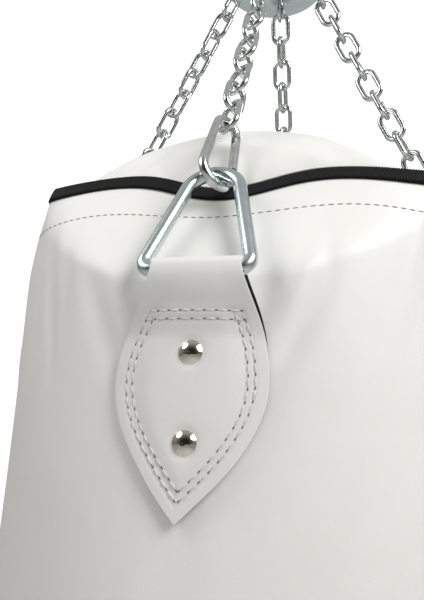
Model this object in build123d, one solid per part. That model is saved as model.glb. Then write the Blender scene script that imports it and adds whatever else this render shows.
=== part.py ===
from build123d import *
import math
import os

# A filled punch bag on four chains. Millimetres, +Z up. The origin is the centre of the
# hang bolt in the swivel stirrup, so the bag hangs below it. Straps sit at front (-Y),
# right, back and left.

# Bag
bag_radius = 173.0
bag_length = 1000.0
skin = 2.5
sewing_gap = 0.2
fold_below_rim = 62.0
dome_height = 68.0
dome_radius = 230.0
dent_tilt = 31.0
binding_height = 11.0
cover_depth = 14.0
binding_ply = 1.3
foam_outer_radius = 165.0
foam_inner_radius = 148.0
fill_below_rim = 62.0

# Strap tabs
strap_width = 41.0
tab_width = 80.0
tab_length = 123.0
tab_widest_below_fold = 57.0
ply = 2.4
lining_ply = 1.0
rivet_depths = (42.0, 86.0)
rivet_cap_radius = 6.3
rivet_post_radius = 2.0
rivet_cap_height = 2.6

# Chain line, from the ring bar up to the hub
chain_tilt = 24.5
ring_wire = 4.0
ring_width = 60.0
ring_height = 74.0
ring_corner = 6.0
ring_apex_bend = 16.0
hook_wire = 3.0
hook_width = 30.0
hook_length = 62.0
hook_turn = 55.0
link_wire = 2.1
link_width = 14.3
link_pitch = 21.0
link_count = 13
link_groups = {"lower": range(0, 3), "middle": range(3, 8), "upper": range(8, 13)}
play = 0.5
ring_play = 1.0

# Hub and swivel
plate_radius = 46.0
hub_shank_length = 32.0
plate_thickness = 5.0
slot_width = 6.0
eye_radius = 13.0
eye_wire = 4.0
top_hook_wire = 4.0
top_hook_width = 40.0
top_hook_length = 80.0
stirrup_width = 34.0
stirrup_depth = 24.0
stirrup_ply = 5.0
bolt_hole_radius = 5.25
shank_radius = 5.0
stirrup_floor = -36.0
swivel_eye_z = -64.0

# Bottom tether
tether_width = 28.0
tether_wire = 3.0


def hook_reach(length, width, wire):
    """Distance between the wire centres at a snap hook's two bends."""
    return math.hypot(0.38 * (width / 2 - wire), length - 2 * wire)


# Levels worked out from the sizes above
cos_tilt = math.cos(math.radians(chain_tilt))
sin_tilt = math.sin(math.radians(chain_tilt))
swivel_pivot_z = swivel_eye_z - eye_radius
top_hook_top_z = swivel_pivot_z + eye_wire + top_hook_wire + play
top_hook_bottom_z = top_hook_top_z - hook_reach(top_hook_length, top_hook_width, top_hook_wire)
hub_eye_z = top_hook_bottom_z + eye_wire + top_hook_wire + play - eye_radius
plate_top_z = hub_eye_z - eye_radius - hub_shank_length
hook_bottom_s = ring_height - ring_wire - hook_wire - ring_play
hook_top_s = hook_bottom_s + hook_reach(hook_length, hook_width, hook_wire)
link_span = link_pitch + 2 * link_wire + play
first_link_s = hook_top_s - hook_wire - link_wire - play + link_span / 2
last_link_s = first_link_s + (link_count - 1) * link_pitch
hub_contact_s = last_link_s - link_span / 2
fold_z = plate_top_z + link_wire + play - hub_contact_s * cos_tilt
rim_z = fold_z + fold_below_rim
bottom_z = rim_z - bag_length
bar_radius = bag_radius + 0.3 + ply + ring_wire + 0.3
dome_centre_z = rim_z + dome_height - dome_radius

sides = ("front", "right", "back", "left")
strap_frame = Location(Plane(
    origin=(0, -bar_radius, fold_z), x_dir=(1, 0, 0), z_dir=(0, sin_tilt, cos_tilt)))
upright = Rot(90, 0, 0)


def on_side(index, shape):
    """The front strap's piece turned to another side of the bag."""
    return Rot(0, 0, 90 * index) * shape


def drum(radius, low, high):
    return Pos(0, 0, (low + high) / 2) * Cylinder(radius, high - low)


def rod(start, end, radius):
    """A round rod between two points."""
    path = Line(start, end)
    return sweep(Plane(origin=path @ 0, z_dir=path % 0) * Circle(radius), path=path)


def lobed(offset, low, high):
    """The bag's outline, grown by offset: a drum that four flats pull in at the straps."""
    lean = math.radians(dent_tilt)
    deep = 160.0
    body = drum(bag_radius + offset, low, high)
    flat = Plane(
        origin=(0, -(bag_radius + offset), fold_z), x_dir=(1, 0, 0),
        z_dir=(0, -math.cos(lean), math.sin(lean)))
    block = Location(flat) * Pos(0, 0, deep / 2) * Box(4 * bag_radius, 4 * bag_radius, deep)
    cutter = block & drum(2 * bag_radius, fold_z, rim_z + 120)
    for index in range(4):
        body -= on_side(index, cutter)
    return body


def outer_shell():
    wall = lobed(0, bottom_z, rim_z) - lobed(-skin, bottom_z - 1, rim_z + 1)
    return wall - rivet_holes()


def cover_block(offset, radius, low):
    """The space under the domed cover: the bag's outline, cut off by a ball."""
    return Pos(0, 0, dome_centre_z) * Sphere(radius) & lobed(offset, low, rim_z + 100)


def top_cover():
    """The edge stands up inside the binding, drops to a valley and rises again as the dome."""
    edge = -skin - sewing_gap
    cover = 2.0
    valley = edge - cover - binding_ply - 3 * sewing_gap
    low = rim_z - cover_depth
    flange = lobed(edge, low, rim_z) - lobed(edge - cover, low - 1, rim_z + 1)
    floor = lobed(edge, low, low + cover) - lobed(valley - cover, low - 1, low + cover + 1)
    dome = cover_block(valley, dome_radius, low)
    dome -= cover_block(valley - cover, dome_radius - cover, low - 1)
    return flange + floor + dome


def textile_filling():
    top = rim_z - fill_below_rim + 10
    trunk = drum(foam_inner_radius - 0.5, bottom_z + 4, top)
    return trunk + drum(105.0, top - 1, rim_z + 20)


def rim_binding():
    low = rim_z - binding_height + binding_ply + sewing_gap
    inner = -skin - sewing_gap - 2.0 - sewing_gap
    outside = lobed(sewing_gap + binding_ply, low, rim_z + sewing_gap + binding_ply)
    inside = lobed(inner - binding_ply, low - 1, rim_z + 5)
    groove = lobed(sewing_gap, low - 1, rim_z + sewing_gap) - lobed(inner, low - 2, rim_z + 5)
    return outside - inside - groove


def rivet_axis(index, depth, inner, outer, radius):
    """A radial rod at one rivet, from the inner radius to the outer one."""
    z = fold_z - depth
    return on_side(index, rod((0, -inner, z), (0, -outer, z), radius))


def rivet_holes():
    holes = []
    for index in range(4):
        for depth in rivet_depths:
            holes.append(rivet_axis(index, depth, 160.0, 190.0, rivet_post_radius + 0.2))
    return holes


tab_back = bag_radius + sewing_gap + lining_ply + sewing_gap
tab_face = tab_back + ply


def leaf(margin, inner, outer):
    """The leaf-shaped part of a strap tab, bent round the bag."""
    half = tab_width / 2 - margin
    neck = strap_width / 2 - margin + 3
    widest = -tab_widest_below_fold
    tip = -tab_length + margin
    right = Spline(
        (neck, -14), (half, widest), (0, tip), tangents=[(0.2, -1), (0, -1), (-1, -0.75)])
    left = mirror(right, about=Plane.YZ)
    top = Line((-neck, -14), (neck, -14))
    outline = make_face([right, left, top])
    block = Pos(0, -150, fold_z) * upright * extrude(outline, 60, both=True)
    tube = drum(outer, fold_z - 200, fold_z) - drum(inner, fold_z - 201, fold_z + 1)
    return tube & block


def strap_tab():
    hole = ring_wire + 0.3
    rim = hole + ply
    depth = 30.0
    loop = Circle(rim) - Circle(hole)
    back = Pos(-(hole + rim) / 2, -depth / 2) * Rectangle(ply, depth)
    drop = Polyline((hole, 0), (rim, 0), (tab_face - bar_radius, -depth),
                    (tab_back - bar_radius, -depth), close=True)
    profile = loop + make_face(drop) + back - Circle(hole)
    side = Location(Plane(origin=(0, -bar_radius, fold_z), x_dir=(0, -1, 0), z_dir=(-1, 0, 0)))
    band = side * extrude(profile, strap_width / 2, both=True)
    clear = drum(tab_back - 0.1, fold_z - depth - 1, fold_z - depth / 2)
    return (band - clear) + leaf(0, tab_back, tab_face) - rivet_holes()


def strap_lining():
    inner = bag_radius + sewing_gap
    body = leaf(1.5, inner, inner + lining_ply)
    return body & drum(200, fold_z - 200, fold_z - 33) - rivet_holes()


def rivet(index, depth):
    z = fold_z - depth
    seat = tab_face + 0.1
    ball = (rivet_cap_radius ** 2 + rivet_cap_height ** 2) / (2 * rivet_cap_height)
    reach = ball - rivet_cap_height
    dome = Sphere(ball) & Pos(0, 0, ball - rivet_cap_height / 2) * Cylinder(20, rivet_cap_height)
    cap = Pos(0, -(seat - reach), z) * Rot(90, 0, 0) * dome
    post = rod((0, -166.5, z), (0, -(seat + 1), z), rivet_post_radius)
    return on_side(index, cap + post)


def rivet_back(index, depth):
    z = fold_z - depth
    ring = rod((0, -168.6, z), (0, -170.3, z), 5.0) - rod((0, -160, z), (0, -180, z), 2.2)
    return on_side(index, ring)


def triangle_ring():
    half = ring_width / 2
    bend_centre = ring_height - ring_apex_bend
    lean = math.atan2(half, bend_centre) - math.asin(ring_apex_bend / math.hypot(half, bend_centre))
    apex = half / math.tan(lean)
    face = make_face(Polyline((-half, 0), (half, 0), (0, apex), close=True))
    corners = face.vertices().sort_by(Axis.Y)
    face = fillet(corners[0:2], ring_corner)
    face = fillet(face.vertices().sort_by(Axis.Y)[-1], ring_apex_bend)
    path = face.face().outer_wire()
    return upright * sweep(Plane(origin=path @ 0, z_dir=path % 0) * Circle(ring_wire), path=path)


class SnapHook:
    """A pear-shaped wire snap hook in the XZ plane, with its gate on the +X side."""

    def __init__(self, length, width, wire):
        self.wire = wire
        self.x = width / 2 - wire
        self.end = length / 2 - wire
        self.foot_bend = 0.9 * self.x
        self.head_bend = 0.62 * self.x
        self.head_x = self.x - self.head_bend
        self.pin_y = -self.end + self.foot_bend + 1.6 * wire
        self.nose_y = self.end - self.head_bend - 0.6 * wire
        self.blade = 0.3 * wire
        self.pin_radius = 0.33 * wire
        self.reach = math.hypot(self.head_x, 2 * self.end)
        self.lean = math.degrees(math.atan2(self.head_x, 2 * self.end))

    def slab(self, low, high, half_x, half_z):
        centre = Pos(self.x, (low + high) / 2, 0)
        return centre * Box(2 * half_x, high - low, 2 * half_z)

    def pin_rod(self, radius, half):
        return Pos(self.x, self.pin_y, 0) * Cylinder(radius, 2 * half)

    def stand(self, solid):
        """Stands the hook up with its foot at the origin and its head straight above."""
        return Rot(0, -self.lean, 0) * Pos(0, 0, self.end) * upright * solid

    def body(self):
        x, end, wire = self.x, self.end, self.wire
        corners = Polyline((-x, -end), (x, -end), (x, end), (x - 2 * self.head_bend, end), close=True)
        face = make_face(corners)
        ends = face.vertices().sort_by(Axis.Y)
        face = fillet(ends[0:2], self.foot_bend)
        face = fillet(face.vertices().sort_by(Axis.Y)[-2:], 0.97 * self.head_bend)
        path = face.face().outer_wire()
        solid = sweep(Plane(origin=path @ 0, z_dir=path % 0) * Circle(wire), path=path)
        solid -= self.slab(self.pin_y + 0.5 * wire, self.nose_y, 1.5 * wire, 1.5 * wire)
        solid -= self.slab(self.pin_y - 1.1 * wire, self.pin_y + wire, 2 * wire, self.blade + 0.25)
        solid -= self.pin_rod(self.pin_radius + 0.05, 2 * wire)
        solid += self.slab(self.nose_y - 1.6 * wire, self.nose_y + 0.5, 0.5 * wire, self.blade)
        return self.stand(solid)

    def gate(self):
        wire = self.wire
        low = self.pin_y + 1.07 * wire
        high = self.nose_y - 0.2 * wire
        bar = Pos(self.x, (low + high) / 2, 0) * Rot(90, 0, 0) * Cylinder(wire, high - low)
        bar -= self.slab(self.nose_y - 2.0 * wire, high + 1, 2 * wire, self.blade + 0.25)
        bar += self.slab(self.pin_y, low + 0.5, 0.7 * wire, self.blade)
        bar += self.pin_rod(0.7 * wire, self.blade)
        bar -= self.pin_rod(self.pin_radius + 0.05, 2 * wire)
        return self.stand(bar)

    def pin(self):
        return self.stand(self.pin_rod(self.pin_radius, 0.98 * self.wire))


def chain_link():
    straight = link_span - link_width
    path = SlotCenterToCenter(straight, link_width, rotation=90).wire()
    return upright * sweep(Plane(origin=path @ 0, z_dir=path % 0) * Circle(link_wire), path=path)


def link_angle(number):
    """Links cross at a right angle, and a slow twist brings the last one square to the hub."""
    twist_left = (90 - hook_turn) * (link_count - 1 - number) / (link_count - 1)
    return 90 * number - twist_left


def hub_plate():
    plate = drum(plate_radius, plate_top_z - plate_thickness, plate_top_z)
    plate -= drum(shank_radius + 0.05, plate_top_z - 20, plate_top_z + 20)
    inner = bar_radius - (hub_contact_s - link_pitch / 2) * sin_tilt - link_width
    for index in range(4):
        length = plate_radius - inner + 5
        slot = Pos(0, -(inner + length / 2), plate_top_z) * Box(slot_width, length, 30)
        plate -= on_side(index, slot)
    return plate


def eye_bolt(eye_z, shank_end, collar_z):
    """An eye in the YZ plane on a shank; the collar's far face bears on a plate."""
    eye = Pos(0, 0, eye_z) * Rot(0, 90, 0) * Torus(eye_radius, eye_wire)
    away = math.copysign(1, shank_end - eye_z)
    root = eye_z + away * (eye_radius + 1)
    shank = drum(shank_radius, min(root, shank_end), max(root, shank_end))
    collar = drum(9.0, min(collar_z, root), max(collar_z, root))
    return eye + shank + collar


def hex_nut(low, height):
    nut = Pos(0, 0, low) * extrude(RegularPolygon(9.8, 6), height)
    return nut - drum(shank_radius + 0.05, low - 1, low + height + 1)


def swivel_stirrup():
    ear_x = stirrup_width / 2 - stirrup_ply / 2
    floor = Pos(0, 0, stirrup_floor - 3) * Box(stirrup_width, stirrup_depth, 6)
    floor -= drum(shank_radius + 0.05, stirrup_floor - 10, stirrup_floor + 10)
    for side in (-1, 1):
        wall = Pos(side * ear_x, 0, stirrup_floor / 2) * Box(stirrup_ply, stirrup_depth, -stirrup_floor)
        crown = rod((side * ear_x - stirrup_ply / 2, 0, 0), (side * ear_x + stirrup_ply / 2, 0, 0),
                    stirrup_depth / 2)
        floor += wall + crown
    return floor - rod((-40, 0, 0), (40, 0, 0), bolt_hole_radius)


def ring_washer(low, height, radius):
    return drum(radius, low, low + height) - drum(shank_radius + 0.05, low - 1, low + height + 1)


def dome_strip(low, high, half_width, start, end):
    """A strip lying over the dome along X, between two angles from its top."""
    face = Plane.YZ * Pos(0, dome_centre_z + dome_radius + (low + high) / 2) * Rectangle(
        2 * half_width, high - low)
    hinge = Axis((0, 0, dome_centre_z), (0, 1, 0))
    strip = revolve(face, hinge, end - start)
    return strip.rotate(hinge, start)


zip_reach = 27.0
slider_angle = -24.0
pull_z = dome_centre_z + dome_radius + 6.6


def zip_turn(shape):
    """A piece made at the dome's top, moved to the closed end of the zip."""
    return shape.rotate(Axis((0, 0, dome_centre_z), (0, 1, 0)), slider_angle)


def zip_slider():
    deck = dome_strip(3.5, 5.1, 6.0, -1.5, 1.5)
    lug = Pos(0, 0, pull_z - 0.4) * Box(5, 3, 4.4)
    lug -= Pos(0, 0, pull_z) * Rot(90, 0, 0) * Cylinder(1.35, 10)
    return zip_turn(deck + lug)


def zip_pull():
    pin = Pos(0, 0, pull_z) * Rot(90, 0, 0) * Cylinder(1.1, 7.6)
    arms = Pos(4, 0, pull_z) * Box(10, 7.6, 1.8) - Pos(1, 0, pull_z) * Box(8, 3.6, 4)
    blade = Pos(19, 0, pull_z) * Box(22, 9, 1.8) - Pos(25, 0, pull_z) * Cylinder(2.2, 6)
    return zip_turn(pin + arms + blade)


tether_z = bottom_z - 14.0


def bottom_webbing():
    hole = tether_wire + 0.3
    rim = hole + 1.8
    loop = Circle(rim) - Circle(hole)
    legs = [Pos(side * (hole + 0.9), 6) * Rectangle(1.8, 12) for side in (-1, 1)]
    feet = Pos(0, 12.9) * Rectangle(110, 1.8) - Pos(0, 12.9) * Rectangle(2 * hole, 3)
    profile = loop - Pos(0, 5) * Rectangle(2 * hole, 10) + legs + feet
    return Pos(0, 0, tether_z) * Location(Plane(origin=(0, 0, 0), x_dir=(0, 1, 0), z_dir=(1, 0, 0))) \
        * extrude(profile, tether_width / 2 - 1, both=True)


def bottom_d_ring():
    half = tether_width / 2 + 3
    path = Wire([Line((-half, 0), (half, 0)), Line((half, 0), (half, -6)),
                 ThreePointArc((half, -6), (0, -6 - half), (-half, -6)), Line((-half, -6), (-half, 0))])
    wire = sweep(Plane(origin=path @ 0.1, z_dir=path % 0.1) * Circle(tether_wire), path=path,
                 transition=Transition.ROUND)
    return Pos(0, 0, tether_z) * upright * wire


def build():
    nodes = {
        "outer_shell": outer_shell(),
        "top_cover": top_cover(),
        "rim_binding": rim_binding(),
        "bottom_panel": drum(bag_radius - skin - sewing_gap, bottom_z + 0.5, bottom_z + 3.0),
        "foam_lining": drum(foam_outer_radius, bottom_z + 12, rim_z - fill_below_rim)
        - drum(foam_inner_radius, bottom_z + 11, rim_z - fill_below_rim + 1),
        "textile_filling": textile_filling(),
        "bottom_webbing": bottom_webbing(),
        "bottom_d_ring": bottom_d_ring(),
        "zip_tape": dome_strip(0.2, 1.2, 13.0, -zip_reach, zip_reach),
        "zip_teeth": dome_strip(1.3, 3.0, 3.0, -zip_reach + 1, zip_reach - 1),
        "zip_slider": zip_slider(),
        "zip_pull": zip_pull(),
        "hub_plate": hub_plate(),
        "hub_eye_bolt": eye_bolt(hub_eye_z, plate_top_z - plate_thickness - 10, plate_top_z + 0.2),
        "hub_nut": hex_nut(plate_top_z - plate_thickness - 8.2, 8),
        "swivel_stirrup": swivel_stirrup(),
        "swivel_eye_bolt": eye_bolt(swivel_eye_z, stirrup_floor + 13, stirrup_floor - 6.2),
        "swivel_washer": ring_washer(stirrup_floor + 0.2, 2.0, 10.0),
        "swivel_nut": hex_nut(stirrup_floor + 2.4, 8),
    }
    linings, rivets, backs = [], [], []
    for index in range(4):
        linings.append(on_side(index, strap_lining()))
        for depth in rivet_depths:
            rivets.append(rivet(index, depth))
            backs.append(rivet_back(index, depth))
    nodes["strap_linings"] = Compound(children=linings)
    nodes["rivets"] = Compound(children=rivets)
    nodes["rivet_backs"] = Compound(children=backs)

    top_hook = SnapHook(top_hook_length, top_hook_width, top_hook_wire)
    place = Pos(0, 0, top_hook_bottom_z)
    nodes["top_hook"] = place * top_hook.body()
    nodes["top_hook_gate"] = place * top_hook.gate()
    nodes["top_hook_pin"] = place * top_hook.pin()

    hook = SnapHook(hook_length, hook_width, hook_wire)
    place = strap_frame * Pos(0, 0, hook_bottom_s) * Rot(0, 0, hook_turn)
    tab, ring, link = strap_tab(), triangle_ring(), chain_link()
    pieces = {"snap_hook": hook.body(), "snap_hook_gate": hook.gate(), "snap_hook_pin": hook.pin()}
    for index, side in enumerate(sides):
        nodes[f"strap_tab_{side}"] = on_side(index, tab)
        nodes[f"triangle_ring_{side}"] = on_side(index, strap_frame * ring)
        for name, solid in pieces.items():
            nodes[f"{name}_{side}"] = on_side(index, place * solid)
        for group, numbers in link_groups.items():
            links = []
            for number in numbers:
                turn = Pos(0, 0, first_link_s + number * link_pitch) * Rot(0, 0, link_angle(number))
                links.append(on_side(index, strap_frame * turn * link))
            nodes[f"chain_{group}_{side}"] = Compound(children=links)
    return nodes


os.makedirs("parts", exist_ok=True)
for node, shape in build().items():
    export_step(shape, f"parts/{node}.step")
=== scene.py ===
import math
import random

import bpy
import numpy as np
from mathutils import Matrix, Vector


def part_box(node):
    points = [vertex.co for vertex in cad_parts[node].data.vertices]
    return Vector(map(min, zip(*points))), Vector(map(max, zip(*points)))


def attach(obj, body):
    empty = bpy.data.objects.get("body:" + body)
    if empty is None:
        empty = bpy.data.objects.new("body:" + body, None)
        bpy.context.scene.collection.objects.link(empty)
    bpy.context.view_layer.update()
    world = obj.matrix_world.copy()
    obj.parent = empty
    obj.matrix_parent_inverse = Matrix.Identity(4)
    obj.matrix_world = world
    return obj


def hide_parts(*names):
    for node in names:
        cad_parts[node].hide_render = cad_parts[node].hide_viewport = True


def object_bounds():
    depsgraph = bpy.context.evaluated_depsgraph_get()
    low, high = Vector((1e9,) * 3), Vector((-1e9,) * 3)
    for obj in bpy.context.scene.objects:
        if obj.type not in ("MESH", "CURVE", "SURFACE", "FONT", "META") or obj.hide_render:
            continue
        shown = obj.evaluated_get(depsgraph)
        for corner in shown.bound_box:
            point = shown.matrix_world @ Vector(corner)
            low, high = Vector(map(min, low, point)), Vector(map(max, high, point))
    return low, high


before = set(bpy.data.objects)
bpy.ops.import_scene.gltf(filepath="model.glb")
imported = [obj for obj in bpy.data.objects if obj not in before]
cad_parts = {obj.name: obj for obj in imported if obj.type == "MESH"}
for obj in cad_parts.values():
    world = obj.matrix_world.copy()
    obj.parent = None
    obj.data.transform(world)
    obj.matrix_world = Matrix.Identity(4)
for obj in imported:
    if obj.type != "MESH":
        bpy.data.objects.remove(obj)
CAD_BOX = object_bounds()

MM = 0.001
TAU = 2 * math.pi
SIDES = ("front", "right", "back", "left")

# Places, read from the frame where it has them
SHELL_LOW, SHELL_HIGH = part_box("outer_shell")
TAB_LOW, TAB_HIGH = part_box("strap_tab_front")
WALL_R = SHELL_HIGH[0]
RIM_Z = SHELL_HIGH[2]
BOTTOM_Z = SHELL_LOW[2]
LOOP_R = 6.7 * MM                       # strap loop round the ring's bar, to its outer face
FOLD_Z = TAB_HIGH[2] - LOOP_R
BAR_R = -TAB_LOW[1] - LOOP_R
DENT_SLOPE = math.tan(math.radians(31))  # lean of the wall that a strap pulls in
DOME_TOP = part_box("top_cover")[1][2]
DOME_R = 230 * MM
DOME_CENTRE = DOME_TOP - DOME_R

# Plies
WALL_PLY = 2.0 * MM
COVER_PLY = 1.6 * MM
BOTTOM_PLY = 1.8 * MM
TAB_PLY = 2.2 * MM
BACKING_PLY = 0.9 * MM
ZIP_PLY = 0.7 * MM
TETHER_PLY = 1.5 * MM

# Strap tabs: half-widths, and depths below the fold
TAB_LENGTH = 123 * MM
TAB_HALF = 40 * MM
TAB_NECK = 23.5 * MM
TAB_WIDEST = 57 * MM
SEAM_TOP = 21.5 * MM                     # upper of the two rows across the tab
SEAM_GAP = 4 * MM
ROW_OUTER = 6.7 * MM                     # stitch rows, in from the leaf's edge
ROW_INNER = 10.2 * MM
RIVETS = (42 * MM, 86 * MM)

# Rim tape
BAND = 8.6 * MM                          # how far it reaches down the wall
TAPE_THICK = 1.3 * MM
TAPE_INNER = -5.6 * MM
RIBS = 760
RIB_STEPS = 4                            # points round one rib
RIB_HEIGHT = 0.34 * MM

# Top cover and zip
COVER_LIFT = 16 * MM                     # rise of each half beside the zip
COVER_CAP = 9 * MM                       # how far the simulation may move a point
PULL_FRAME = 14                          # the straps have pulled the edge in by here
LAST_FRAME = 26
ZIP_REACH = math.radians(27)             # each way over the dome
ZIP_HALF = 13 * MM
ZIP_TEETH = 150

# Stitches: pitch, share of the pitch that shows, thread radius, dip into the sheet
TAB_STITCH = (6.6 * MM, 0.76, 0.5 * MM, 0.7 * MM)
HEM_STITCH = (4.9 * MM, 0.72, 0.3 * MM, 0.35 * MM)
TETHER_STITCH = (3.6 * MM, 0.75, 0.32 * MM, 0.3 * MM)
HOLE_SHADE_SIZE = (0.34 * MM, 0.1 * MM)      # radius and dip of the painted shade of a needle hole, a dark dash between two stitches

# Mesh densities
WALL_COLS, WALL_UPPER_ROWS, WALL_LOWER_ROWS = 384, 110, 70
WALL_UPPER = 0.20                        # share of the wall's height that the upper rows cover
COVER_COLS, COVER_ROWS = 144, 46
BOTTOM_COLS, BOTTOM_ROWS = 160, 36

# Studio
FLOOR_GAP = 0.02
FLOOR_HALF = 6.0
BACKDROP_STRENGTH = 1.15
WORLD_STRENGTH = 0.47
LIGHTS = (                               # name, place (height over the rim), size, power
    ("key", (0.95, -0.75, 0.7), 0.8, 16),
    ("left", (-0.6, -0.5, 0.45), 0.5, 2.8),
    ("rim", (0.5, 1.8, 0.9), 1.2, 12))
CAMERA_PLACE = (91.8 * MM, -466.6 * MM, FOLD_Z - 91.6 * MM)
CAMERA_TURN = (15.84, 14.19, 3.52)       # yaw, pitch and roll in degrees
CAMERA_LENS = 37.2


# ---------------------------------------------------------------- small helpers

def smooth(low, high, x):
    t = np.clip((np.asarray(x, float) - low) / (high - low), 0, 1)
    return t * t * (3 - 2 * t)


def bump(x, centre, width):
    return np.exp(-((np.asarray(x, float) - centre) / width) ** 2)


def soft_min(a, b, k):
    h = np.clip(0.5 + 0.5 * (b - a) / k, 0, 1)
    return b * (1 - h) + a * h - k * h * (1 - h)


def mesh_object(name, verts, faces, material, smooth_shade=True):
    mesh = bpy.data.meshes.new(name)
    mesh.from_pydata([tuple(map(float, v)) for v in verts], [], [tuple(f) for f in faces])
    mesh.materials.append(material)
    mesh.polygons.foreach_set("use_smooth", [smooth_shade] * len(mesh.polygons))
    mesh.validate()
    obj = bpy.data.objects.new(name, mesh)
    bpy.context.scene.collection.objects.link(obj)
    return obj


def grid_faces(rows, cols, wrap=False):
    faces = []
    last = cols if wrap else cols - 1
    for i in range(rows - 1):
        for j in range(last):
            k = (j + 1) % cols
            faces.append((i * cols + j, i * cols + k, (i + 1) * cols + k, (i + 1) * cols + j))
    return faces


def apply_modifiers(obj):
    graph = bpy.context.evaluated_depsgraph_get()
    mesh = bpy.data.meshes.new_from_object(obj.evaluated_get(graph))
    obj.modifiers.clear()
    old = obj.data
    obj.data = mesh
    bpy.data.meshes.remove(old)


def thicken(obj, thickness, offset=0):
    """Gives a sheet its ply: inwards at offset -1, to both sides at 0."""
    ply = obj.modifiers.new("ply", "SOLIDIFY")
    ply.thickness = thickness
    ply.offset = offset


def stand_in(obj, node):
    """Settles a finished piece in the place of the bag's CAD node."""
    apply_modifiers(obj)
    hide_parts(node)
    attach(obj, "bag")


def turned(points, index):
    """Points of the front strap, turned to another side."""
    pts = np.asarray(points, float)
    for _ in range(index):
        pts = np.stack([-pts[..., 1], pts[..., 0], pts[..., 2]], -1)
    return pts


# ---------------------------------------------------------------- materials

class Nodes:
    """A material's node tree with short calls for what repeats."""

    def __init__(self, name):
        self.material = bpy.data.materials.new(name)
        self.material.use_nodes = True
        self.tree = self.material.node_tree
        self.shader = self.tree.nodes["Principled BSDF"]
        coords = self.tree.nodes.new("ShaderNodeTexCoord")
        self.place = coords.outputs["Object"]

    def link(self, a, b):
        self.tree.links.new(a, b)

    def noise(self, scale, detail=4.0, rough=0.5):
        node = self.tree.nodes.new("ShaderNodeTexNoise")
        node.inputs["Scale"].default_value = scale
        node.inputs["Detail"].default_value = detail
        node.inputs["Roughness"].default_value = rough
        self.link(self.place, node.inputs["Vector"])
        return node.outputs["Fac"]

    def cells(self, scale, feature="F1"):
        node = self.tree.nodes.new("ShaderNodeTexVoronoi")
        node.feature = feature
        node.inputs["Scale"].default_value = scale
        self.link(self.place, node.inputs["Vector"])
        return node.outputs["Distance"]

    def ramp(self, value, low, high, start=0.0, end=1.0):
        node = self.tree.nodes.new("ShaderNodeValToRGB")
        node.color_ramp.elements[0].position = start
        node.color_ramp.elements[1].position = end
        node.color_ramp.elements[0].color = (*low, 1)
        node.color_ramp.elements[1].color = (*high, 1)
        self.link(value, node.inputs["Fac"])
        return node.outputs["Color"]

    def spread(self, value, low, high):
        node = self.tree.nodes.new("ShaderNodeMapRange")
        node.inputs["To Min"].default_value = low
        node.inputs["To Max"].default_value = high
        self.link(value, node.inputs["Value"])
        return node.outputs["Result"]

    def math(self, kind, a, b):
        node = self.tree.nodes.new("ShaderNodeMath")
        node.operation = kind
        for value, socket in ((a, node.inputs[0]), (b, node.inputs[1])):
            if isinstance(value, (int, float)):
                socket.default_value = value
            else:
                self.link(value, socket)
        return node.outputs[0]

    def relief(self, height, strength, depth):
        node = self.tree.nodes.new("ShaderNodeBump")
        node.inputs["Strength"].default_value = strength
        node.inputs["Distance"].default_value = depth
        self.link(height, node.inputs["Height"])
        self.link(node.outputs["Normal"], self.shader.inputs["Normal"])

    def colour(self, socket):
        self.link(socket, self.shader.inputs["Base Color"])

    def roughness(self, socket):
        self.link(socket, self.shader.inputs["Roughness"])


def leather(name, base, dark, rough=(0.4, 0.52)):
    """Synthetic leather: pebbled grain under 1 mm, faint soiling, a satin top coat."""
    n = Nodes(name)
    n.colour(n.ramp(n.noise(14, 5, 0.6), dark, base, 0.25, 0.7))
    n.roughness(n.spread(n.noise(60, 3), *rough))
    grain = n.math("ADD", n.cells(1500), n.math("MULTIPLY", n.noise(2600, 2), 0.5))
    n.relief(grain, 0.28, 0.00012)
    n.shader.inputs["Coat Weight"].default_value = 0.12
    n.shader.inputs["Coat Roughness"].default_value = 0.35
    n.shader.inputs["Subsurface Weight"].default_value = 0.04
    n.shader.inputs["Subsurface Radius"].default_value = (0.002, 0.002, 0.002)
    return n.material


def webbing(name):
    n = Nodes(name)
    n.colour(n.ramp(n.noise(900, 3), (0.002, 0.002, 0.0025), (0.012, 0.012, 0.013), 0.3, 0.75))
    n.roughness(n.spread(n.noise(500, 2), 0.5, 0.7))
    n.relief(n.noise(3500, 2), 0.5, 0.00015)
    n.shader.inputs["Specular IOR Level"].default_value = 0.2
    return n.material


def plated(name, tint, dark, rough, mottling=120):
    """Plated steel: cloudy tint, fine drawing marks and a few duller patches."""
    n = Nodes(name)
    n.shader.inputs["Metallic"].default_value = 1.0
    n.colour(n.ramp(n.noise(mottling, 4, 0.6), dark, tint, 0.3, 0.65))
    n.roughness(n.spread(n.noise(mottling * 2, 3), *rough))
    n.relief(n.math("ADD", n.noise(900, 3), n.cells(500)), 0.12, 0.00008)
    return n.material


def plain_fibre(name, low, high, scale):
    n = Nodes(name)
    n.colour(n.ramp(n.noise(scale, 5, 0.7), low, high, 0.3, 0.7))
    n.roughness(n.spread(n.noise(scale * 2, 2), 0.8, 0.97))
    n.relief(n.cells(scale * 3), 0.6, 0.0006)
    return n.material


def moulded(name, low, high, rough):
    n = Nodes(name)
    n.colour(n.ramp(n.noise(200, 3), low, high))
    n.roughness(n.spread(n.noise(300, 2), *rough))
    n.relief(n.noise(2500, 2), 0.15, 0.0001)
    return n.material


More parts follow.
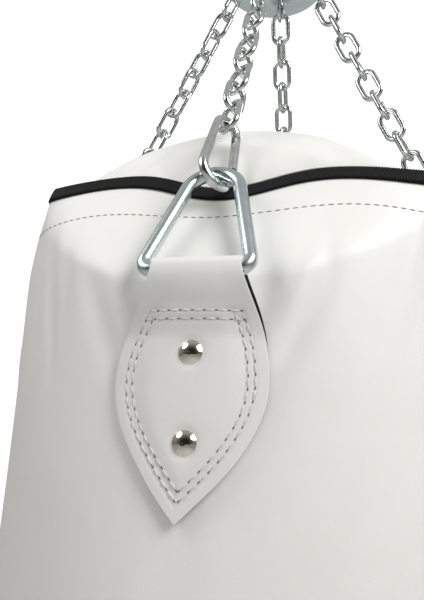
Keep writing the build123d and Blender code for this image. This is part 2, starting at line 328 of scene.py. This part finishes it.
LEATHER = leather("bag_leather", (0.83, 0.822, 0.795), (0.78, 0.77, 0.742))
TAB_LEATHER = leather("tab_leather", (0.80, 0.785, 0.762), (0.75, 0.733, 0.71), (0.36, 0.48))
WEBBING = webbing("ribbed_webbing")
ZINC = plated("zinc_plate", (0.66, 0.735, 0.74), (0.57, 0.65, 0.66), (0.2, 0.32), 70)
ZINC_BRIGHT = plated("zinc_chain", (0.74, 0.765, 0.755), (0.60, 0.63, 0.625), (0.14, 0.26), 160)
NICKEL = plated("nickel_plate", (0.74, 0.70, 0.60), (0.62, 0.58, 0.49), (0.07, 0.13), 200)
THREAD = plain_fibre("pale_thread", (0.76, 0.74, 0.70), (0.88, 0.87, 0.84), 1500)
HEM_THREAD = plain_fibre("hem_thread", (0.16, 0.14, 0.12), (0.34, 0.31, 0.28), 1500)
# painted shade: the colour of the dark dashes that stand in for the shade in the needle holes
PAINTED_HOLE_SHADE = plain_fibre("hole_shade_paint", (0.13, 0.11, 0.095), (0.26, 0.23, 0.2), 900)
FOAM = plain_fibre("foam_sheet", (0.16, 0.17, 0.18), (0.3, 0.31, 0.33), 90)
FILLING = plain_fibre("textile_shreds", (0.2, 0.19, 0.18), (0.55, 0.52, 0.5), 60)
ZIP_PLASTIC = moulded("zip_nylon", (0.012, 0.012, 0.013), (0.03, 0.03, 0.032), (0.3, 0.45))


def dress_cad():
    """Gives every CAD node that stays its own detailed material."""
    for node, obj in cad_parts.items():
        if node.startswith(("chain_", "snap_hook", "top_hook")):
            material = ZINC_BRIGHT
        elif node.startswith("rivet"):
            material = NICKEL
        elif node == "foam_lining":
            material = FOAM
        elif node == "textile_filling":
            material = FILLING
        elif node.startswith("zip_"):
            material = ZIP_PLASTIC
        else:
            material = ZINC
        for slot in obj.material_slots:
            slot.material = material


# ---------------------------------------------------------------- the bag's outline

def from_strap(az):
    """Angle from the nearest strap, in radians, at most an eighth of a turn each way."""
    quarter = math.pi / 2
    return (np.asarray(az, float) + quarter / 2) % quarter - quarter / 2


def lobe(az):
    """0 at a strap, 1 halfway between two straps."""
    return (1 - np.cos(4 * np.asarray(az, float))) / 2


def half_lobe(az):
    """0 at a strap and halfway between two straps, 1 in between."""
    return (1 - np.cos(8 * np.asarray(az, float))) / 2


def rim_height(az):
    """The rim dips at each strap, peaks beside it and eases off at the bag's corners."""
    wave = -3.0 * MM * np.sin(az)
    return RIM_Z + 1.7 * MM + 10.5 * MM * lobe(az) + 8.5 * MM * half_lobe(az) + wave


def hem_height(az):
    return RIM_Z - 21 * MM + 11.5 * MM * lobe(az) ** 0.8 - 8 * MM * lobe(az) ** 4


def fold_marks():
    """Soft wrinkles beside each strap and below the rim.

    Each one is its angle, level, half-angle, half-height, height off the wall and slant.
    """
    rng = random.Random(11)
    marks = []
    for index in range(4):
        middle = index * math.pi / 2
        for side in (-1, 1):
            for off, level, width, reach, height, slant in (
                    (0.205, -9, 0.05, 17, -3.6, 0.5),
                    (0.30, -32, 0.045, 30, -2.2, 1.4),
                    (0.27, 14, 0.04, 26, 1.7, 0.6)):
                marks.append((middle + side * off, FOLD_Z + level * MM, width,
                              reach * MM, height * MM, slant * side))
            for _ in range(4):
                marks.append((
                    middle + side * rng.uniform(0.3, 0.78),
                    RIM_Z - rng.uniform(20, 95) * MM,
                    rng.uniform(0.018, 0.04),
                    rng.uniform(22, 60) * MM,
                    rng.choice((-1, 1)) * rng.uniform(0.5, 1.5) * MM,
                    side * rng.uniform(-0.2, 0.9)))
    return marks


MARKS = fold_marks()


def wrinkles(az, z):
    total = 0.9 * MM * np.sin(2 * az + 7 * z + 0.8) * smooth(BOTTOM_Z, BOTTOM_Z + 0.1, z)
    total = total + 0.5 * MM * np.sin(5 * az - 11 * z) * np.sin(3.1 * z * 4 + az)
    for centre, level, width, reach, height, slant in MARKS:
        down = z - level
        off = (az - centre - slant * down * 2 + math.pi) % TAU - math.pi
        total = total + height * bump(off, 0, width) * bump(down, 0, reach)
    return total


def wall_radius(az, z):
    """The lobed outline: round below, pulled in at the straps above the rings' bars."""
    az = np.asarray(az, float)
    z = np.asarray(z, float)
    height = z - FOLD_Z
    rise = 6 * MM * np.log1p(np.exp(np.clip(height / (6 * MM), -30, 30)))
    flat = (WALL_R - 0.4 * MM - rise * DENT_SLOPE) / np.cos(from_strap(az))
    round_part = WALL_R + 2.5 * MM * lobe(az) * smooth(FOLD_Z - 0.15, RIM_Z, z) + wrinkles(az, z)
    blend = 0.2 * MM + 28 * MM * smooth(FOLD_Z - 0.02, RIM_Z, z)
    base = soft_min(round_part, flat, blend)
    corner = bump(z, BOTTOM_Z, 9 * MM) * 6 * MM
    under_tab = 0.8 * MM * bump(from_strap(az), 0, 0.25) * bump(z, FOLD_Z - 0.06, 0.07)
    return base - corner - under_tab


def around(az, radius, z):
    az, radius, z = np.broadcast_arrays(az, radius, z)
    return np.stack([radius * np.sin(az), -radius * np.cos(az), z], -1)


def make_shell():
    """The wall, finely meshed near the rim, with its lower edge turned in."""
    upper = np.linspace(0, 1, WALL_UPPER_ROWS)[:-1] * WALL_UPPER
    lower = WALL_UPPER + (1 - WALL_UPPER) * np.linspace(0, 1, WALL_LOWER_ROWS)
    az = np.linspace(0, TAU, WALL_COLS, endpoint=False)
    rows = []
    for t in np.concatenate([upper, lower]):
        top = rim_height(az)
        z = top + (BOTTOM_Z + 0.5 * MM - top) * t
        rows.append(around(az, wall_radius(az, z), z))
    last = rows[-1]
    for inset, rise in ((2.5, 0.4), (5.0, 2.2)):
        ring = last.copy()
        ring[:, :2] *= 1 - inset * MM / WALL_R
        ring[:, 2] += rise * MM
        rows.append(ring)
    verts = np.concatenate(rows)
    obj = mesh_object("shell_leather", verts, grid_faces(len(rows), WALL_COLS, wrap=True),
                      LEATHER)
    thicken(obj, WALL_PLY, -1 if obj.data.polygons[0].normal.y < 0 else 1)
    stand_in(obj, "outer_shell")


def make_binding():
    """Grosgrain tape folded over the rim, with real ribs across it."""
    cols = RIBS * RIB_STEPS
    az = np.linspace(0, TAU, cols, endpoint=False)
    top = rim_height(az)
    rib = RIB_HEIGHT * np.cos(np.arange(cols) * TAU / RIB_STEPS)
    thick, inner = TAPE_THICK, TAPE_INNER
    profile = [(0.2 * MM, -BAND), (thick, -BAND), (thick + 0.1 * MM, -BAND * 0.6),
               (thick + 0.1 * MM, -BAND * 0.25), (thick * 0.9, 0.4 * MM), (0, 1.7 * MM),
               (-2.4 * MM, 2.1 * MM), (inner + 1.5 * MM, 1.8 * MM), (inner - 0.6 * MM, 0.2 * MM),
               (inner - thick, -BAND * 0.4), (inner - thick, -BAND * 0.9), (inner, -BAND * 0.9)]
    rows = []
    for number, (out, up) in enumerate(profile):
        z = top + up
        radius = wall_radius(az, np.minimum(z, top)) + out
        outward = 1 if number < 6 else (0 if number < 8 else -1)
        radius = radius + outward * rib
        z = z + (rib if number in (5, 6, 7) else 0)
        rows.append(around(az, radius, z))
    verts = np.concatenate(rows)
    count = len(profile)
    faces = []
    for i in range(count):
        k = (i + 1) % count
        for j in range(cols):
            m = (j + 1) % cols
            faces.append((i * cols + j, i * cols + m, k * cols + m, k * cols + j))
    obj = mesh_object("binding_tape", verts, faces, WEBBING)
    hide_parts("rim_binding")
    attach(obj, "bag")


# ---------------------------------------------------------------- the top cover, by cloth

def dome_height(radius, y):
    """The dome under the zip; on both sides of the zip the filling pushes it up."""
    ball = DOME_CENTRE + np.sqrt(np.maximum(DOME_R ** 2 - radius ** 2, 0))
    return ball + COVER_LIFT * smooth(ZIP_HALF, 80 * MM, np.abs(y))


def cover_points(lobed_edge):
    """The cover's points, from its middle out to a round or a lobed edge."""
    cols, rows = COVER_COLS, COVER_ROWS
    az = np.linspace(0, TAU, cols, endpoint=False)
    edge_z = rim_height(az) - 1.0 * MM
    if lobed_edge:
        edge_r = wall_radius(az, edge_z) - 4.4 * MM
    else:
        edge_r = np.full(cols, WALL_R - 5 * MM)
    pts = [np.array([[0, 0, DOME_TOP]])]
    for i in range(1, rows + 1):
        t = i / rows
        radius = edge_r * t
        floor = edge_z - 7 * MM
        crown = dome_height(radius, radius * np.cos(az))
        pillow = (np.maximum(crown, floor) - floor) * (1 - t ** 9)
        z = floor + pillow + 6 * MM * smooth(0.975, 1.0, t)
        pts.append(around(az, radius, z))
    return np.concatenate(pts)


def make_cover():
    """The cover starts with a round edge; the straps pull that edge in, and it creases."""
    cols, rows = COVER_COLS, COVER_ROWS
    start, end = cover_points(False), cover_points(True)
    faces = [(0, 1 + j, 1 + (j + 1) % cols) for j in range(cols)]
    faces += [tuple(1 + v for v in reversed(f)) for f in grid_faces(rows, cols, wrap=True)]
    obj = mesh_object("cover_leather", start, faces, LEATHER)
    edge = set(range(1 + (rows - 1) * cols, 1 + rows * cols))
    zip_strip = {i for i, p in enumerate(end)
                 if abs(p[1]) < 15 * MM and abs(p[0]) < 96 * MM}
    simulate_cover(obj, end, edge | zip_strip)
    thicken(obj, COVER_PLY, -1)
    soft = obj.modifiers.new("soft", "SUBSURF")
    soft.levels = soft.render_levels = 1
    stand_in(obj, "top_cover")


def simulate_cover(obj, end, pinned):
    """Cloth under pressure; the edge and the zip's strip move from the round start to the end."""
    scene = bpy.context.scene
    group = obj.vertex_groups.new(name="pin")
    group.add(sorted(pinned), 1.0, "REPLACE")
    obj.shape_key_add(name="round")
    pulled = obj.shape_key_add(name="pulled")
    for i in pinned:
        pulled.data[i].co = Vector(end[i])
    pulled.value = 0
    pulled.keyframe_insert("value", frame=1)
    pulled.value = 1
    pulled.keyframe_insert("value", frame=PULL_FRAME)
    cloth = obj.modifiers.new("cloth", "CLOTH")
    settings = cloth.settings
    settings.quality = 6
    settings.vertex_group_mass = "pin"
    settings.mass = 0.3
    settings.tension_stiffness = settings.compression_stiffness = 25
    settings.bending_stiffness = 1.2
    settings.use_pressure = True
    settings.uniform_pressure_force = 2.0
    settings.effector_weights.gravity = 0
    cloth.point_cache.frame_end = LAST_FRAME
    for step in range(1, LAST_FRAME + 1):
        scene.frame_set(step)
    graph = bpy.context.evaluated_depsgraph_get()
    result = np.array([v.co[:] for v in obj.evaluated_get(graph).data.vertices])
    obj.modifiers.clear()
    obj.shape_key_clear()
    move = result - end
    length = np.linalg.norm(move, axis=1, keepdims=True)
    move *= np.minimum(1, COVER_CAP / np.maximum(length, 1e-9))
    for vert, place in zip(obj.data.vertices, end + move):
        vert.co = place
    scene.frame_set(1)


# ---------------------------------------------------------------- strap tabs

def bezier(points, t):
    t = np.asarray(t, float)[:, None]
    a, b, c, d = (np.array(p) for p in points)
    return (1 - t) ** 3 * a + 3 * (1 - t) ** 2 * t * b + 3 * (1 - t) * t * t * c + t ** 3 * d


def leaf_edge(samples=80):
    """Half-width and depth below the fold, along the leaf's right edge."""
    t = np.linspace(0, 1, samples)
    upper = bezier(((TAB_NECK, 0), (28 * MM, 20 * MM), (TAB_HALF, 31 * MM),
                    (TAB_HALF, TAB_WIDEST)), t)
    lower = bezier(((TAB_HALF, TAB_WIDEST), (TAB_HALF, 81 * MM), (19 * MM, 104 * MM),
                    (0.3 * MM, TAB_LENGTH)), t)
    return np.concatenate([upper, lower[1:]])


EDGE = leaf_edge()


def half_width(depth):
    return np.interp(depth, EDGE[:, 1], EDGE[:, 0])


def lean(depth):
    """How far the strap hangs to one side of its rivets: right at the fold, left at the tip."""
    at_fold = 2.2 * MM * (1 - smooth(8 * MM, 46 * MM, depth))
    below = 0.5 * MM * smooth(30 * MM, 60 * MM, depth)
    at_tip = 1.7 * MM * smooth(92 * MM, TAB_LENGTH, depth)
    return at_fold - below - at_tip


def tab_front(x, depth):
    """The tab's outer face: lying on the wall below, standing off it towards the ring's bar."""
    depth = np.asarray(depth, float)
    edge = (half_width(depth) - np.abs(x)) * 0.93
    x = np.asarray(x, float) + lean(depth)
    on_wall = WALL_R + 1.6 * MM + TAB_PLY
    off = smooth(36 * MM, 1 * MM, depth)
    radius = on_wall + (BAR_R + LOOP_R - 0.3 * MM - on_wall) * off
    bent = np.sqrt(np.maximum(radius ** 2 - x ** 2, 1e-9))
    y = bent * (1 - off) + radius * off
    sewn = smooth(SEAM_TOP - 4 * MM, SEAM_TOP + 2 * MM, depth)
    pad = 0.9 * MM * smooth(ROW_INNER, ROW_INNER + 9 * MM, edge) * sewn
    groove = 1.1 * MM
    channel = 0.35 * MM * (bump(edge, ROW_OUTER, groove) + bump(edge, ROW_INNER, groove)) * sewn
    across = 0.4 * MM * (bump(depth, SEAM_TOP, groove) + bump(depth, SEAM_TOP + SEAM_GAP, groove))
    dimple = sum(np.exp(-((x / (9 * MM)) ** 2 + ((depth - r) / (9 * MM)) ** 2)) for r in RIVETS)
    seat = sum(np.exp(-(((x ** 2 + (depth - r) ** 2) / (7.5 * MM) ** 2) ** 3)) for r in RIVETS)
    pad = pad * (1 - np.clip(seat, 0, 1)) - 0.5 * MM * dimple * (1 - np.clip(seat, 0, 1))
    sag = 0.5 * MM * np.sin(x / (9 * MM) + 0.6) * bump(depth, 15 * MM, 9 * MM)
    y = y + pad - channel - across * (edge > ROW_OUTER * 0.9) + sag
    return np.stack([x, -y, FOLD_Z - depth], -1)


def make_tab(index):
    """The leaf, the fold over the ring's bar and the ply behind it, as one thick sheet."""
    cols = 57
    u = np.linspace(-1, 1, cols)
    depths = np.concatenate([[TAB_LENGTH], TAB_LENGTH - np.geomspace(0.6, 8, 6) * MM,
                             np.linspace(TAB_LENGTH - 9.2 * MM, 3 * MM, 92)])
    rows = [tab_front(u * half_width(d), np.full(cols, d)) for d in depths]
    outer = LOOP_R - 0.3 * MM
    aside = float(lean(0))
    for angle in np.linspace(0.25, math.pi, 15):
        half = TAB_NECK - 0.2 * MM
        y = -(BAR_R + outer * math.cos(angle))
        z = FOLD_Z + outer * math.sin(angle)
        rows.append(np.stack([aside + u * half, np.full(cols, y), np.full(cols, z)], -1))
    for depth in np.linspace(2, 30, 8) * MM:
        back = np.full(cols, -(BAR_R - outer))
        across = aside + u * (TAB_NECK - 0.3 * MM)
        rows.append(np.stack([across, back, np.full(cols, FOLD_Z - depth)], -1))
    verts = turned(np.concatenate(rows), index)
    obj = mesh_object(f"tab_leather_{SIDES[index]}", verts, grid_faces(len(rows), cols),
                      TAB_LEATHER)
    facing = Vector(turned(np.array([0, -1.0, 0]), index))
    sign = 1 if obj.data.polygons[cols * 40].normal.dot(facing) > 0 else -1
    thicken(obj, TAB_PLY * 0.9, -sign)
    edge = obj.modifiers.new("edge", "BEVEL")
    edge.width = 0.5 * MM
    edge.segments = 2
    edge.limit_method = "ANGLE"
    edge.angle_limit = math.radians(50)
    stand_in(obj, f"strap_tab_{SIDES[index]}")


def make_linings():
    """Black backing leaves that show past each tab's edge."""
    cols = 33
    u = np.linspace(-1, 1, cols)
    verts, faces = [], []
    for index in range(4):
        rows = []
        for d in np.linspace(TAB_LENGTH - 2 * MM, 4.5 * MM, 70):
            x = u * (half_width(d) - 0.4 * MM) + 2.0 * MM * smooth(44 * MM, 14 * MM, d)
            face = tab_front(np.clip(x, -half_width(d), half_width(d)), np.full(cols, d))
            face[:, 0] = x + lean(d)
            face[:, 1] += TAB_PLY + 0.3 * MM
            rows.append(face)
        base = sum(len(v) for v in verts)
        verts.append(turned(np.concatenate(rows), index))
        faces += [tuple(base + v for v in f) for f in grid_faces(len(rows), cols)]
    obj = mesh_object("tab_backing", np.concatenate(verts), faces, WEBBING)
    thicken(obj, BACKING_PLY)
    stand_in(obj, "strap_linings")


# ---------------------------------------------------------------- stitching

def capsule(start, end, normal, radius, sink, verts, faces):
    """One stitch: a bowed thread from start to end, dipping into the sheet at both ends."""
    start, end, normal = map(np.asarray, (start, end, normal))
    along = end - start
    length = np.linalg.norm(along)
    if length < 1e-7:
        return
    along = along / length
    side = np.cross(along, normal)
    side /= np.linalg.norm(side)
    up = np.cross(side, along)
    base = len(verts)
    rings, around_count = 6, 6
    for i in range(rings):
        t = i / (rings - 1)
        swell = math.sin(math.pi * min(max(t, 0.04), 0.96)) ** 0.45
        centre = start + along * length * t + up * (sink * (swell - 1) + radius * 0.35)
        for j in range(around_count):
            angle = TAU * j / around_count
            offset = side * math.cos(angle) * 1.15 + up * math.sin(angle) * 0.9
            verts.append(centre + offset * radius * max(swell, 0.35))
    for i in range(rings - 1):
        for j in range(around_count):
            k = (j + 1) % around_count
            faces.append((base + i * around_count + j, base + (i + 1) * around_count + j,
                          base + (i + 1) * around_count + k, base + i * around_count + k))
    faces.append(tuple(base + j for j in range(around_count)))
    last = base + (rings - 1) * around_count
    faces.append(tuple(last + j for j in reversed(range(around_count))))


def walk(points, pitch, fill):
    """Start and end of each stitch along a polyline."""
    points = np.asarray(points, float)
    steps = np.linalg.norm(np.diff(points, axis=0), axis=1)
    run = np.concatenate([[0], np.cumsum(steps)])
    count = max(1, int(round(run[-1] / pitch)))
    pitch = run[-1] / count
    for i in range(count):
        a, b = i * pitch, (i + fill) * pitch
        yield (np.array([np.interp(a, run, points[:, k]) for k in range(3)]),
               np.array([np.interp(b, run, points[:, k]) for k in range(3)]))


def row_inside(offset, side, start_depth):
    """A stitch row that runs inside the leaf's edge on one side, down to the middle line."""
    edge = EDGE[EDGE[:, 1] > 18 * MM]
    tangent = np.gradient(edge, axis=0)
    tangent /= np.linalg.norm(tangent, axis=1, keepdims=True)
    inward = np.stack([-tangent[:, 1], tangent[:, 0]], 1)
    moved = edge + inward * offset
    keep = (moved[:, 0] > 0) & (moved[:, 1] > start_depth)
    moved = moved[keep]
    return tab_front(side * moved[:, 0], moved[:, 1])


def make_tab_stitching():
    """Two rows round each leaf and two across its top, with the needle holes' shade painted as dark
    dashes between stitches.
    """
    pitch, fill, radius, sink = TAB_STITCH
    thread, thread_faces, hole_shade_verts, hole_shade_faces = [], [], [], []
    for index in range(4):
        rows = []
        for offset in (ROW_OUTER, ROW_INNER):
            rows += [row_inside(offset, side, SEAM_TOP) for side in (-1, 1)]
        for depth in (SEAM_TOP, SEAM_TOP + SEAM_GAP):
            reach = half_width(depth) - ROW_OUTER
            x = np.linspace(-reach, reach, 30)
            rows.append(tab_front(x, np.full(30, depth)))
        for row in rows:
            row = turned(row, index)
            for a, b in walk(row, pitch, fill):
                middle = (a + b) / 2
                normal = np.array([middle[0], middle[1], 0])
                normal /= np.linalg.norm(normal)
                capsule(a, b, normal, radius, sink, thread, thread_faces)
                step = (b - a) / fill
                gap_a, gap_b = b - step * 0.02, a + step * 1.02
                # a dark dash of painted shade where the needle hole lies
                capsule(gap_a, gap_b, normal, *HOLE_SHADE_SIZE, hole_shade_verts, hole_shade_faces)
    for name, verts, faces, material, slot in (
            ("tab_stitches", thread, thread_faces, THREAD, "white_leather"),
            ("tab_hole_shade_marks", hole_shade_verts, hole_shade_faces, PAINTED_HOLE_SHADE, "black_webbing")):
        obj = mesh_object(name, verts, faces, material)
        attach(obj, "bag")


def make_hem():
    """The row of darker thread that runs round the wall under the rim tape."""
    pitch, fill, radius, sink = HEM_STITCH
    verts, faces = [], []
    az = np.linspace(0, TAU, 1400)
    z = hem_height(az)
    line = around(az, wall_radius(az, z) + 0.05 * MM, z)
    for a, b in walk(line, pitch, fill):
        middle = (a + b) / 2
        normal = np.array([middle[0], middle[1], 0])
        capsule(a, b, normal / np.linalg.norm(normal), radius, sink, verts, faces)
    obj = mesh_object("hem_stitches", verts, faces, HEM_THREAD)
    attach(obj, "bag")


# ---------------------------------------------------------------- zip and bottom

def make_zip():
    """Woven tape laid over the cover, with two rows of moulded teeth that mesh."""
    reach = ZIP_REACH
    cols, rows = 15, 90
    verts = []
    for angle in np.linspace(-reach, reach, rows):
        for y in np.linspace(-ZIP_HALF, ZIP_HALF, cols):
            lift = DOME_R + 1.0 * MM - 0.6 * MM * (abs(y) / ZIP_HALF) ** 2
            verts.append((lift * math.sin(angle), y, DOME_CENTRE + lift * math.cos(angle)))
    tape = mesh_object("zip_tape_weave", verts, grid_faces(rows, cols), WEBBING)
    thicken(tape, ZIP_PLY)
    stand_in(tape, "zip_tape")
    teeth, faces = [], []
    radius = DOME_R + 2.0 * MM
    span = 2 * reach - math.radians(2)
    for i in range(ZIP_TEETH):
        angle = -reach + math.radians(1) + span * i / (ZIP_TEETH - 1)
        side = 1 if i % 2 else -1
        place = np.array([radius * math.sin(angle), side * 0.7 * MM,
                          DOME_CENTRE + radius * math.cos(angle)])
        along = np.array([math.cos(angle), 0, -math.sin(angle)]) * 0.5 * MM
        up = np.array([math.sin(angle), 0, math.cos(angle)]) * 0.65 * MM
        wide = np.array([0, 1.9 * MM, 0])
        base = len(teeth)
        for a in (-1, 1):
            for b in (-1, 1):
                for c in (-1, 1):
                    taper = 0.7 if b * side < 0 else 1.0
                    teeth.append(place + a * along * taper + b * wide + c * up)
        for quad in ((0, 1, 3, 2), (4, 6, 7, 5), (0, 4, 5, 1),
                     (2, 3, 7, 6), (0, 2, 6, 4), (1, 5, 7, 3)):
            faces.append(tuple(base + q for q in quad))
    obj = mesh_object("zip_chain", teeth, faces, ZIP_PLASTIC,
                      smooth_shade=False)
    edge = obj.modifiers.new("edge", "BEVEL")
    edge.width = 0.15 * MM
    edge.segments = 2
    stand_in(obj, "zip_teeth")


def make_bottom():
    """The sewn-in bottom panel, a little puckered at its edge."""
    cols, rows = BOTTOM_COLS, BOTTOM_ROWS
    az = np.linspace(0, TAU, cols, endpoint=False)
    pts = [np.array([[0, 0, BOTTOM_Z + 0.6 * MM]])]
    for i in range(1, rows + 1):
        t = i / rows
        radius = t * (WALL_R - 6.5 * MM)
        pucker = 0.5 * MM * np.cos(40 * az) * smooth(0.86, 1.0, t)
        sag = 1.0 * MM + 3.0 * MM * smooth(0.75, 1.0, t) + pucker
        slow = 0.8 * MM * np.sin(3 * az + 1) * t * (1 - t)
        pts.append(around(az, radius, BOTTOM_Z + sag + slow))
    faces = [(0, 1 + j, 1 + (j + 1) % cols) for j in range(cols)]
    faces += [tuple(1 + v for v in reversed(f)) for f in grid_faces(rows, cols, wrap=True)]
    obj = mesh_object("bottom_leather", np.concatenate(pts), faces, LEATHER)
    thicken(obj, BOTTOM_PLY, -1)
    stand_in(obj, "bottom_panel")


def make_tether():
    """Webbing sewn flat under the bottom panel, looped through the tether ring."""
    low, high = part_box("bottom_webbing")
    bar_z = low[2] + 5.1 * MM
    half = high[0]
    flange_z = high[2] - 0.9 * MM
    reach = high[1]
    path = []
    for y in np.linspace(reach, 9 * MM, 22):
        path.append((y, flange_z + 0.1 * MM * math.sin(y * 900)))
    path += [(6.4 * MM, flange_z - 0.6 * MM), (4.9 * MM, flange_z - 2.2 * MM),
             (4.3 * MM, flange_z - 5 * MM)]
    for angle in np.linspace(0, math.pi, 15):
        path.append((4.2 * MM * math.cos(angle), bar_z - 4.2 * MM * math.sin(angle)))
    path += [(-y, z) for y, z in reversed(path[:25])]
    cols = 41
    u = np.linspace(-1, 1, cols)
    rows = []
    ridge = 0.12 * MM * np.cos(u * 26)
    for y, z in path:
        rows.append(np.stack([u * half, np.full(cols, y), z - ridge], -1))
    obj = mesh_object("tether_webbing", np.concatenate(rows), grid_faces(len(rows), cols), WEBBING)
    thicken(obj, TETHER_PLY)
    stand_in(obj, "bottom_webbing")
    pitch, fill, radius, sink = TETHER_STITCH
    verts, faces = [], []
    below = np.array([0, 0, -1.0])
    level = flange_z - 0.85 * MM
    for side in (-1, 1):
        near, far, wide = side * 14 * MM, side * (reach - 4 * MM), half - 3 * MM
        corners = [(-wide, near), (wide, near), (wide, far), (-wide, far),
                   (-wide, near), (wide, far), (-wide, far), (wide, near)]
        for a, b in zip(corners, corners[1:]):
            line = [(*a, level), (*b, level)]
            for start, end in walk(line, pitch, fill):
                capsule(start, end, below, radius, sink, verts, faces)
    stitches = mesh_object("tether_stitches", verts, faces, THREAD)
    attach(stitches, "bag")


# ---------------------------------------------------------------- studio

def make_floor():
    z = CAD_BOX[0][2] - FLOOR_GAP
    material = moulded("studio_floor", (0.84, 0.84, 0.84), (0.88, 0.88, 0.88), (0.6, 0.7))
    corners = [(x * FLOOR_HALF, y * FLOOR_HALF, z) for x, y in ((-1, -1), (1, -1), (1, 1), (-1, 1))]
    floor = mesh_object("studio_floor", corners, [(0, 1, 2, 3)], material)
    see_through_from_below(material)


def make_world():
    """Soft light, white behind the bag and dark in front of it for what the metal mirrors."""
    bpy.context.scene.view_settings.view_transform = "Standard"
    world = bpy.data.worlds.new("studio")
    bpy.context.scene.world = world
    world.use_nodes = True
    tree = world.node_tree
    nodes, link = tree.nodes, tree.links.new
    back = nodes["Background"]
    coords = nodes.new("ShaderNodeTexCoord")
    split = nodes.new("ShaderNodeSeparateXYZ")
    link(coords.outputs["Generated"], split.inputs[0])

    # the light's colour, from the floor up
    shift = nodes.new("ShaderNodeMapRange")
    shift.inputs["From Min"].default_value = -1
    ramp = nodes.new("ShaderNodeValToRGB")
    stops = ramp.color_ramp.elements
    stops[0].position, stops[0].color = 0.0, (0.22, 0.21, 0.19, 1)
    stops[1].position, stops[1].color = 1.0, (1.0, 1.0, 0.99, 1)
    stops.new(0.5).color = (0.50, 0.49, 0.46, 1)
    link(split.outputs["Z"], shift.inputs["Value"])
    link(shift.outputs["Result"], ramp.inputs["Fac"])

    # the dark room, seen by glossy rays only
    path = nodes.new("ShaderNodeLightPath")
    room = nodes.new("ShaderNodeMapRange")
    room.inputs["From Min"].default_value = -0.35
    room.inputs["From Max"].default_value = -0.9
    reflected = nodes.new("ShaderNodeMath")
    reflected.operation = "MULTIPLY"
    darken = nodes.new("ShaderNodeMixRGB")
    darken.inputs["Color2"].default_value = (0.05, 0.045, 0.035, 1)
    link(split.outputs["Y"], room.inputs["Value"])
    link(room.outputs["Result"], reflected.inputs[0])
    link(path.outputs["Is Glossy Ray"], reflected.inputs[1])
    link(reflected.outputs[0], darken.inputs["Fac"])
    link(ramp.outputs["Color"], darken.inputs["Color1"])
    link(darken.outputs["Color"], back.inputs["Color"])
    back.inputs["Strength"].default_value = WORLD_STRENGTH

    # the white backdrop, seen by the camera
    white = nodes.new("ShaderNodeBackground")
    white.inputs["Color"].default_value = (1, 1, 1, 1)
    white.inputs["Strength"].default_value = BACKDROP_STRENGTH
    mix = nodes.new("ShaderNodeMixShader")
    link(path.outputs["Is Camera Ray"], mix.inputs[0])
    link(back.outputs[0], mix.inputs[1])
    link(white.outputs[0], mix.inputs[2])
    link(mix.outputs[0], nodes["World Output"].inputs["Surface"])


def see_through_from_below(material):
    """Lets a view from under the floor show the bag's bottom."""
    tree = material.node_tree
    side = tree.nodes.new("ShaderNodeNewGeometry")
    clear = tree.nodes.new("ShaderNodeBsdfTransparent")
    mix = tree.nodes.new("ShaderNodeMixShader")
    tree.links.new(side.outputs["Backfacing"], mix.inputs[0])
    tree.links.new(tree.nodes["Principled BSDF"].outputs[0], mix.inputs[1])
    tree.links.new(clear.outputs[0], mix.inputs[2])
    tree.links.new(mix.outputs[0], tree.nodes["Material Output"].inputs["Surface"])


def area_light(name, place, size, power):
    place = (place[0], place[1], RIM_Z + place[2])
    data = bpy.data.lights.new(name, "AREA")
    data.shape = "DISK"
    data.size = size
    data.energy = power
    obj = bpy.data.objects.new(name, data)
    bpy.context.scene.collection.objects.link(obj)
    obj.location = place
    aim = Vector((0, -0.1, FOLD_Z)) - Vector(place)
    obj.rotation_euler = aim.to_track_quat("-Z", "Y").to_euler()


def make_camera():
    """A close view from below and a little to the right of the front strap."""
    data = bpy.data.cameras.new("camera")
    data.sensor_width = 36
    data.lens = CAMERA_LENS
    data.clip_start = 0.01
    cam = bpy.data.objects.new("camera", data)
    bpy.context.scene.collection.objects.link(cam)
    cam.location = CAMERA_PLACE
    yaw, pitch, roll = (math.radians(a) for a in CAMERA_TURN)
    ahead = Vector((-math.sin(yaw) * math.cos(pitch), math.cos(yaw) * math.cos(pitch),
                    math.sin(pitch)))
    right = Vector((math.cos(yaw), math.sin(yaw), 0))
    up = right.cross(ahead)
    right, up = (right * math.cos(roll) + up * math.sin(roll),
                 up * math.cos(roll) - right * math.sin(roll))
    cam.rotation_euler = Matrix((right, up, -ahead)).transposed().to_euler()
    bpy.context.scene.camera = cam


dress_cad()
make_shell()
make_binding()
make_cover()
for number in range(4):
    make_tab(number)
make_linings()
make_tab_stitching()
make_hem()
make_zip()
make_bottom()
make_tether()
make_floor()
make_world()
for light in LIGHTS:
    area_light(*light)
make_camera()
